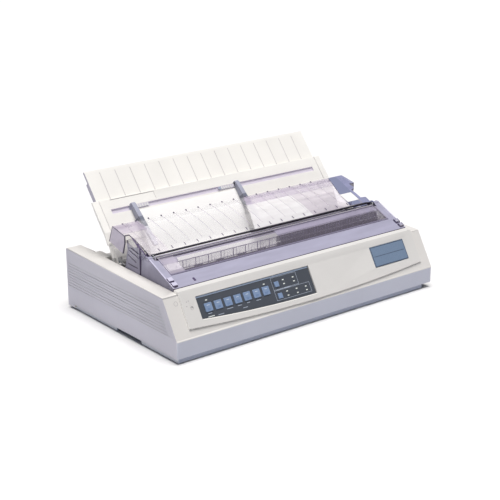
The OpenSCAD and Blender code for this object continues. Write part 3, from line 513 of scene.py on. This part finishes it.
SIMPLE = {
    "control_board": ("board", 0.0), "side_frame_left": ("steel", 0.2),
    "side_frame_right": ("steel", 0.2), "carriage_shaft": ("shaft", 0.4), "carriage_rail": ("steel", 0.2),
    "space_motor": ("motor", 0.4), "timing_belt": ("belt", 0.1),
    "feed_motor": ("motor", 0.4), "main_board": ("board", 0.15), "power_supply": ("supply", 0.2),
    "power_inlet": ("black", 0.3), "parallel_connector": ("steel", 0.2), "rubber_feet": ("foot", 0.5),
    "case_screws": ("screw", 0.2), "tractor_support_shaft": ("shaft", 0.3),
    "platen": ("rubber", 0.3),
    "platen_shaft": ("shaft", 0.3), "platen_gear": ("natural", 0.1), "platen_knob": ("cream_smooth", 0.4),
    "pull_up_roller": ("black", 0.1), "idle_gear": ("natural", 0.1), "feed_pinion": ("brass", 0.05),
    "tractor_drive_shaft": ("shaft", 0.1), "tractor_left": ("black", 0.3), "tractor_right": ("black", 0.3),
    "tractor_lid_left": ("black", 0.3), "tractor_lid_right": ("black", 0.3), "carriage": ("black", 0.3),
    "print_head": ("motor", 0.25), "ribbon_knob": ("natural", 0.2),
    "drive_pulley": ("steel", 0.2), "idler_pulley": ("steel", 0.2), "paper_lever": ("guide", 0.5),
    "head_gap_lever": ("guide", 0.3), "power_rocker": ("black", 0.4),
    "control_sheet": ("film", 0.1),
}
for node, (mat, r) in SIMPLE.items():
    from_cad(node, [M[mat]], r)
from_cad("ribbon_cartridge", [M["ribbon_black"]], 0.5, [(lambda m, d, e: m.y > 113.5, 0.0)])
# painted light: the plinth's left-facing faces take the lighter grey
from_cad("lower_case", [M["base"], M["base_painted_light_side"]], 0.5, face_rule=lambda c, n_, f: 1 if n_.x < -0.9 and c.x < -269 else 0)
# painted shade: the plates' part right of x = 38 is dark
from_cad("paper_plates", [M["plate"], M["plate_painted_shade"]], 0.15, face_rule=lambda c, n_, f: 1 if c.x > 38 else 0)
# painted light: the bezel's left side faces take a lighter, glowing cream
from_cad("front_bezel", [M["bezel"], M["bezel_edge_painted_glow"]], 0.6, [
    (lambda m, d, e: along(d, 0) and abs(m.y - 35.8) < 0.5 and m.z > 101, 1.6),
    (lambda m, d, e: along(d, 0) and abs(m.y - 45.5) < 0.4 and m.z > 102, 0.8),
], 3, face_rule=lambda c, n_, f: 1 if n_.x < -0.6 and c.x < -240 else 0)

def guide_sn(c):
    """Up and out of the raised sheet guide, in mm, for a point in the case's own mm."""
    return ((c.y - 236) * math.cos(GT) + (c.z - 146) * math.sin(GT), -(c.y - 236) * math.sin(GT) + (c.z - 146) * math.cos(GT))


def guide_face(c, n_, f):
    s_, out = guide_sn(c)
    if any(x0 < c.x < x1 for x0, x1 in ((-175.7, -100), (-10, 34.7))) and out > 0.1 and s_ > 28:
        if c.x > -4 and c.x < 3.5 and out > 2.6 or (-2 < c.x < 3.5 and abs(n_.x) < 0.99 and out > 1.3):
            return 3
        return 1 if out > 1.6 else 2
    return 4 if -9 < s_ < 11 and out > 1 else 5 if s_ <= -9 else 0


for node in ("paper_guide_left", "paper_guide_right"):
    bm = cad_mesh(node)
    for s0 in (-9, 11):
        bmesh.ops.bisect_plane(bm, geom=bm.verts[:] + bm.edges[:] + bm.faces[:], plane_co=on_guide(0, s0, 0), plane_no=Vector((0, math.cos(GT), math.sin(GT))), dist=1e-6)
    for f in bm.faces:
        c = f.calc_center_median() * 1000
        c.y += D
        f.material_index = guide_face(c, f.normal, f)
    weights(bm, 0.4)
    o = finish_mesh(bm, node + "_shown", [M["guide"], M["comb"], M["comb_gap"], M["base"], M["guide_dark"], M["guide_pale"]], 32, True, 2, BODY_OF[node])
    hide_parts(node)


def panel_face(c, n_, f):
    s_, out = guide_sn(c)
    # slot floor and walls: painted shade colour with a glow; the down-facing walls glow more as painted light
    if -3.2 < out < -0.3 and 27 < s_ < 41 and abs(c.x) < 223:
        return 3 if n_.y * math.cos(GT) + n_.z * math.sin(GT) < -0.7 else 1
    if -0.4 < out < -0.1:
        return 2
    return 0


from_cad("sheet_guide", [M["cream_smooth"], M["slot_floor_painted_shade_glow"], M["panel_line"], M["slot_edge_painted_glow"]], 0.5, face_rule=panel_face)


def support_face(c, n_, f):
    s_, out = guide_sn(c)
    # painted shade: left-facing flange faces
    if n_.x < -0.9 and c.x < -235:
        return 2
    return 1 if -5.3 < out < -4.6 and 59 < s_ < 109 and abs(c.x) < 214 else 0


from_cad("paper_support", [M["cream_smooth"], M["groove"], M["support_painted_shade_side"]], 0.35, face_rule=support_face)

# keys: a blue cap with two faint legend bars
KEYS = [("key_%d" % (i + 1), -201.5 + 19.1 * i, 39.7, 14) for i in range(7)] + [("small_key_1", -62.6, 45.1, 9), ("small_key_2", -62.6, 25.6, 9)]
for node, kx, kt, ks in KEYS:
    o = from_cad(node, [M["key"]], 0.55, segs=3)
    if ks == 14:
        bm = bmesh.new()
        top = 0.53 + 1.2
        slab(bm, on_slope, (kx - 2.6, kt + 2.6, top - 0.05), (kx + 2.6, kt + 3.7, top + 0.04), 0)
        slab(bm, on_slope, (kx - 3.4, kt - 2.9, top - 0.05), (kx + 3.4, kt - 2.2, top + 0.04), 1)
        slab(bm, on_slope, (kx - 3.4, kt - 4.6, top - 0.05), (kx + 2.0, kt - 3.9, top + 0.04), 1)
        finish_mesh(bm, node + "_marks", [M["key_text"], M["legend"]], bevel=False, body=node)

# badge: a bare plate with a darker rim
bm = cad_mesh("badge_plate")
weights(bm, 0.35)
badge = finish_mesh(bm, "badge_plate_shown", [M["badge"]], segs=2, body="chassis")
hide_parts("badge_plate")
bm = bmesh.new()
n0, n1 = 3.02, 3.1
for a_, b_ in (((150.4, 26.7), (228.5, 27.6)), ((150.4, 59.8), (228.5, 60.7)), ((150.4, 27.6), (151.3, 59.8)), ((227.6, 27.6), (228.5, 59.8))):
    slab(bm, on_slope, (a_[0], a_[1], n0), (b_[0], b_[1], n1))
slab(bm, on_slope, (154, 43.4, n0), (225, 44.2, n1))
finish_mesh(bm, "badge_rim", [M["badge_dark"]], bevel=False, body="chassis")


# covers: clear window, frosted band and dark edges
def plate_n(n_, lim=0.6):
    return abs(n_.z) > lim


def cz(y):
    return 102.6 + (y - 47.8) * 0.455


def cover_face(c, n_, f):
    if abs(n_.x) > 0.6:
        return 3 if (c.x < -244 or c.x > 253) and not (c.y < 70 and c.z > cz(c.y) + 1.5) else 2
    on_plate = abs(c.z - cz(c.y)) < 0.2 or abs(c.z - cz(c.y) + 2.2) < 0.3
    # behind the window: a painted highlight strip on the rear rim's top, then near-black rear faces as painted shadow
    # of the exit gap
    if c.y > 112.3:
        return 5 if n_.z > 0.5 and c.y < 113.6 and c.x > -232 and c.x < 239 else 4 if abs(c.x) < 232 else 1
    if on_plate and abs(n_.z) > 0.5:
        if c.y < 73.6 or c.x < -232.1 or c.x > 239.1:
            return 1
        return 10 if c.x < -203 else 9 if c.y > 100.4 and c.x > 5 else 0
    if c.x < -232.1 or c.x > 239.1:                       # cheeks' edges and lift tabs
        if n_.z > 0.3:
            return 3 if c.x > 239.2 and c.z > cz(c.y) + 1.5 and c.y < 70 else 7
        return 2
    if c.z > cz(c.y) + 0.15 and c.y > 73:                 # the raised rim of the window
        if c.y < 75.8:
            return 6
        return 11 if c.y > 109.7 else 8 if c.x < -228.5 or c.x > 235.5 else 0
    return 2


bm = cad_mesh("access_cover", 0)
for y_ in (73.5, 75.5, 100.4, 110, 112.3, 113.6):
    cut(bm, 1, y_)
for x_ in (-232.2, -203, 5, 239.2):
    cut(bm, 0, x_)
for f in bm.faces:
    c = f.calc_center_median() * 1000
    c.y += D
    f.material_index = cover_face(c, f.normal, f)
o = finish_mesh(bm, "access_cover_shown", [M["clear"], M["frost"], M["edge"], M["cheek"], M["seal"], M["rim_light"], M["rim"], M["tab"], M["rim_top"], M["window_rear"], M["window_left"], M["rim_rear"]], 12, False, body="access_cover")
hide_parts("access_cover")


def rear_face(c, n_, f):
    # painted shadow: the rear cover's front edge is near-black for the shadowed hinge gap
    if c.y < 124.8 and abs(c.x) < 236:
        return 4
    if abs(n_.x) > 0.6 and (c.x < -244 or c.x > 252):
        return 1
    if abs(n_.x) > 0.6 and abs(c.x) < 236:
        return 5
    if c.x > 223.9:
        return 6 if plate_n(n_, 0.3) else 2
    if not plate_n(n_, 0.3):
        return 2
    if c.x < -198:
        return 7 if c.y > 187 else 8
    if c.x < -24 + (c.y - 124.8) * 0.52:
        return 9
    if c.y > 187:
        return 3
    return 10 if c.x < 106 else 0


RC = [(122.5, 134.6), (136, 141), (152, 147.4), (168, 152.4), (184, 156.6), (200, 160.2), (215, 163)]


def interp(pts, y):
    for (a, za), (b, zb) in zip(pts, pts[1:]):
        if y <= b:
            return za + (zb - za) * (y - a) / (b - a)
    return pts[-1][1]


bm = cad_mesh("rear_cover", 0)
cut(bm, 1, 124.8)
cut(bm, 1, 187)
for x_ in (-198, 106, 224):
    cut(bm, 0, x_)
bmesh.ops.bisect_plane(bm, geom=bm.verts[:] + bm.edges[:] + bm.faces[:], plane_co=V(-24, 124.8, 0), plane_no=Vector((1, -0.52, 0)).normalized(), dist=1e-6)
for f in bm.faces:
    c = f.calc_center_median() * 1000
    c.y += D
    f.material_index = rear_face(c, f.normal, f)
weights(bm, 0.2)
o = finish_mesh(bm, "rear_cover_shown", [M["haze"], M["rear_cheek"], M["edge"], M["band"], M["seal"], M["rib"], M["side_band"], M["band_left"], M["haze_left"], M["haze_paper"], M["glare"]], segs=2, body="rear_cover")
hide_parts("rear_cover")


def strap(bm, ys, left, right, up, mat):
    """A thin layer that follows the rear cover's skin between two edges, each x given as a function of y."""
    rows = []
    for y in ys:
        z = interp(RC, y)
        rows.append([V(left(y), y, z + up), V(right(y), y, z + up), V(left(y), y, z + up - 0.25), V(right(y), y, z + up - 0.25)])
    vs = [[bm.verts.new(p) for p in r] for r in rows]
    fs = [bm.faces.new([vs[0][k] for k in (0, 1, 3, 2)]), bm.faces.new([vs[-1][k] for k in (0, 1, 3, 2)])]
    for a, b in zip(vs, vs[1:]):
        for p, q in ((0, 1), (1, 3), (3, 2), (2, 0)):
            fs.append(bm.faces.new((a[p], a[q], b[q], b[p])))
    for f in fs:
        f.material_index = mat
    bmesh.ops.recalc_face_normals(bm, faces=fs)


def line_x(bm, p, q, w, x0, x1, mat):
    """A straight line of width w between two (y, z) points on a side face, from x0 to x1."""
    dy, dz = q[0] - p[0], q[1] - p[1]
    k = w / 2 / math.hypot(dy, dz)
    ny, nz = -dz * k, dy * k
    prism(bm, [(p[0] + ny, p[1] + nz), (p[0] - ny, p[1] - nz), (q[0] - ny, q[1] - nz), (q[0] + ny, q[1] + nz)], x0, x1, mat)


bm = bmesh.new()
YS = [125.5, 130, 136, 144, 152, 160, 168, 176, 184, 192, 200, 208, 213]
LEFT = [(125, 194), (160, 199), (194, 213), (214, 221)]
RIGHT = [(125, 222), (135, 221), (163, 227), (186, 232), (214, 238)]
strap(bm, YS, lambda y: interp(LEFT, y), lambda y: interp(RIGHT, y), 0.15, 0)
strap(bm, [134, 136, 144, 152, 155.6], lambda y: 196.6, lambda y: 223.0, 0.3, 1)
strap(bm, [125.6, 133.6], lambda y: 197.2 - (133.6 - y) * 0.25, lambda y: 199.0 - (133.6 - y) * 0.25, 0.3, 2)
strap(bm, [125.6, 133.6], lambda y: 203.0 - (133.6 - y) * 0.9, lambda y: 204.6 - (133.6 - y) * 0.9, 0.3, 2)
for y0, y1 in ((126, 160), (160, 184), (184, 213)):      # its left edge
    strap(bm, [y0, y1], lambda y: interp(LEFT, y) - 0.9, lambda y: interp(LEFT, y), 0.2, 2)
# outlines of the left cheek
for p, q, w in (((181, 155), (215, 163), 1.1), ((215, 163), (216.6, 160), 1.2), ((216.6, 160), (226.4, 134.7), 1.3), ((181, 155), (181, 143), 1.4), ((181, 143), (187, 123.5), 1.4)):
    line_x(bm, (p[0], p[1] - 0.4), (q[0], q[1] - 0.4), w, -247.0, -246.75, 2)
finish_mesh(bm, "rear_cover_parts", [M["shade"], M["label"], M["line"]], bevel=False, body="rear_cover")
def bracket_face(c, n_, f):
    if c.x > 0:
        return 3
    if c.z > 132.3 + (c.y - 129.5) * 0.293 and c.z > 140.8 - (c.y - 158.8) * 0.266:
        return 4 if abs(n_.x) > 0.6 else 2
    return (1 if (-246.2 < c.x < -245.4) else 0) if abs(n_.x) > 0.6 else 2


bm = cad_mesh("cover_brackets", 0)
for p_, q_ in (((129.5, 132.3), (158.8, 140.9)), ((158.8, 140.8), (169.7, 137.9))):
    dy_, dz_ = q_[0] - p_[0], q_[1] - p_[1]
    bmesh.ops.bisect_plane(bm, geom=bm.verts[:] + bm.edges[:] + bm.faces[:], plane_co=V(0, *p_), plane_no=Vector((0, -dz_, dy_)).normalized(), dist=1e-6)
for f in bm.faces:
    c = f.calc_center_median() * 1000
    c.y += D
    f.material_index = bracket_face(c, f.normal, f)
o = finish_mesh(bm, "cover_brackets_shown", [M["cheek"], M["line"], M["edge"], M["bracket_band"], M["clear_thin"]], 20, False, body="chassis")
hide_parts("cover_brackets")
bm = bmesh.new()
line_x(bm, (129.5, 132.1), (158.8, 140.6), 1.1, -247.1, -246.9, 0)
line_x(bm, (158.8, 140.6), (169.7, 137.7), 1.1, -247.1, -246.9, 0)
finish_mesh(bm, "bracket_outline", [M["line"]], bevel=False, body="chassis")

# the pull-up strip: clear over the sheet, painted dark beside it for the shade of the interior behind, ruled with fine
# lines
bm = cad_mesh("pull_up_strip", 0)
cut(bm, 0, 5)
for f in bm.faces:
    # painted shade: front faces right of x = 5 are dark
    f.material_index = 1 if f.calc_center_median().x > 5.01 * MM and f.normal.y < -0.5 else 0
o = finish_mesh(bm, "pull_up_strip_shown", [M["clear_thin"], M["strip_dark"]], 20, False, body=BODY_OF["pull_up_strip"])
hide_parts("pull_up_strip")
bm = bmesh.new()


def strip_y(z):
    return 103.5 + (z - 104.2) * 0.85 / 17.8


for z, w in ((104.8, 1.0), (108.7, 1.1), (121.4, 1.1)):
    for x0, x1, mat in ((-200, 5, 0), (5, 221, 1)):
        prism(bm, [(strip_y(z) - 0.12, z - w / 2), (strip_y(z) - 0.02, z - w / 2), (strip_y(z) - 0.02, z + w / 2), (strip_y(z) - 0.12, z + w / 2)], x0, x1, mat)
for i in range(18):
    for x, w, z0_, z1_ in ((-213.6 + 25.4 * i, 1.5, 105.2, 121.1), (-207.0 + 25.4 * i, 0.7, 109.1, 121.1), (-200.9 + 25.4 * i, 0.8, 105.2, 113.2)):
        if -200 < x < 221:
            prism(bm, [(strip_y(z0_) - 0.11, z0_), (strip_y(z0_) - 0.02, z0_), (strip_y(z1_) - 0.02, z1_), (strip_y(z1_) - 0.11, z1_)], x - w / 2, x + w / 2, 0 if x < 5 else 2)
finish_mesh(bm, "pull_up_strip_lines", [M["strip_line"], M["strip_line_dark"], M["strip_rib"]], bevel=False, body=BODY_OF["pull_up_strip"])

# the rear cover: a dot where each rib meets the rear edge, and short dark stops between the ribs at the hinge
bm = bmesh.new()
for i in range(17):
    x = -228 + i * 25.4
    prism(bm, [(213.2, 163.6), (215.4, 164.1), (215.6, 162.4), (213.4, 161.9)], x - 0.9, x + 0.9, 1)
    x += 12.4
    prism(bm, [(127.0, 137.2), (132.6, 139.7), (132.6, 140.1), (127.0, 137.6)], x - 0.6, x + 0.6, 1)
finish_mesh(bm, "rear_cover_ticks", [M["rib"], M["edge"]], bevel=False, body="rear_cover")

# dark outlines along the access cover's cheeks
bm = bmesh.new()
for p, q, w in (((48.4, 99.2), (48.4, 102.6), 1.0), ((50, 96.1), (60, 96.1), 0.9), ((60, 96.1), (137, 98.0), 0.9), ((137, 98), (133.8, 126.3), 1.0), ((133.8, 126.3), (122, 135), 1.0)):
    line_x(bm, p, q, w, -247.0, -246.75, 0)
line_x(bm, (48.4, 102.9), (112, cz(112) + 0.5), 0.8, 255.7, 255.95, 0)
finish_mesh(bm, "access_cover_outlines", [M["line"]], bevel=False, body="access_cover")

# lamps and printed outlines on the control sheet, and a painted light strip for the lit upper wall of its recess
bm = bmesh.new()
z0, z1 = 0.5, 0.62
for x, t in ((-47.6, 49.6), (-47.4, 42.9), (-26.5, 49.5), (-26.5, 42.7), (-46.5, 30), (-46.5, 22.9), (-26.5, 29.9), (-26.5, 22.9), (-6.8, 29.3), (-6.8, 23.2), (-201.6, 51.3), (-86.8, 50.7)):
    slab(bm, on_slope, (x - 1.7, t - 0.8, z0), (x + 1.7, t + 0.8, z1 + 0.15), 0)


def outline(x0, t0, x1, t1, w=0.5):
    for a_, b_ in (((x0, t0), (x1, t0 + w)), ((x0, t1 - w), (x1, t1)), ((x0, t0 + w), (x0 + w, t1 - w)), ((x1 - w, t0 + w), (x1, t1 - w))):
        slab(bm, on_slope, (a_[0], a_[1], z0), (b_[0], b_[1], z1), 1)


outline(-71.5, 36.2, -18.5, 57.0)
outline(-71.5, 18.6, 2.5, 35.2)
for x0, x1, t in ((-205.5, -198.2, 29.8), (-169.4, -157.3, 28.9), (-148.0, -140.2, 28.9), (-129.5, -123.5, 29.4), (-110.4, -101.4, 28.9), (-188.4, -177.0, 24.0), (-139.7, -130.2, 23.4), (-66.3, -52, 35.4), (-50, -37, 35.8)):
    slab(bm, on_slope, (x0, t - 0.5, z0), (x1, t + 0.4, z1), 1)
slab(bm, on_slope, (-207.4, 24.1, z0), (-195.3, 25.3, z1), 0)
# painted light: a light strip along the top of the recess instead of its shadow
slab(bm, on_slope, (-219.3, 57.7, z0), (9.0, 60.1, 0.85), 2)
finish_mesh(bm, "panel_printing", [M["led"], M["print"], M["strip"]], bevel=False, body="chassis")

# a painted highlight along the lower edge of the recess, for the glint on its rounded edge, and faint round marks
# beside it
bm = bmesh.new()
N_ = 24
pts = [(-219.6 + 229.2 * i / N_) for i in range(N_ + 1)]
for a, b in zip(pts, pts[1:]):
    ta, tb = (13.2 + (x - 4) ** 2 / 4642 for x in (a, b))
    vs = [bm.verts.new(on_slope(x, t, n)) for x, t, n in ((a, ta - 1.3, 2.60), (b, tb - 1.3, 2.60), (b, tb - 1.3, 2.70), (a, ta - 1.3, 2.70),
                                                           (a, ta, 2.60), (b, tb, 2.60), (b, tb, 2.70), (a, ta, 2.70))]
    fs = [bm.faces.new([vs[k] for k in q]) for q in ((0, 1, 2, 3), (4, 7, 6, 5), (0, 4, 5, 1), (3, 2, 6, 7), (0, 3, 7, 4), (1, 5, 6, 2))]
    for f in fs:
        f.material_index = 0
    bmesh.ops.recalc_face_normals(bm, faces=fs)


def ring(bm, x, t, n, r, w, mat, k=28):
    for i in range(k):
        a, b = 2 * math.pi * i / k, 2 * math.pi * (i + 1) / k
        vs = [bm.verts.new(on_slope(x + q * math.cos(g), t + q * math.sin(g), h)) for g in (a, b) for q in (r, r - w) for h in (n, n + 0.08)]
        fs = [bm.faces.new([vs[m] for m in o_]) for o_ in ((0, 1, 5, 4), (2, 6, 7, 3), (1, 3, 7, 5), (0, 4, 6, 2), (0, 2, 3, 1), (4, 5, 7, 6))]
        for f in fs:
            f.material_index = mat
        bmesh.ops.recalc_face_normals(bm, faces=fs)


ring(bm, -256.0, 57.9, -0.02, 3.6, 0.5, 1)
ring(bm, -232.0, 44.8, 2.58, 2.9, 0.45, 1)
for x, t in ((-238.5, 56.1), (-234.6, 56.8), (-240.3, 49.2)):
    slab(bm, on_slope, (x - 0.8, t - 0.6, 2.58), (x + 0.8, t + 0.6, 2.66), 1)
finish_mesh(bm, "panel_rim", [M["rim_cream"], M["mark"]], bevel=False, body="chassis")

# small marks where the support's grooves end
bm = bmesh.new()
for i in range(15):
    slab(bm, on_guide, (-211 + i * 30, 58.6, -4.55), (-209 + i * 30, 60.4, -4.3), 0)
finish_mesh(bm, "support_groove_ends", [M["groove"]], bevel=False, body="paper_support")

# the sheet stays a bent solid that follows the guide
bm = cad_mesh("paper_sheet")
sheet = finish_mesh(bm, "paper_sheet_shown", [M["paper"]], 60, False, 1, None)
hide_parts("paper_sheet")
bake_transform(sheet)

# ------------------------------------------------------------------ floor
bm = bmesh.new()
bmesh.ops.create_grid(bm, x_segments=8, y_segments=8, size=30)
floor = finish_mesh(bm, "floor", [M["floor"]], bevel=False)
floor.location = (0, 10.0, 0)
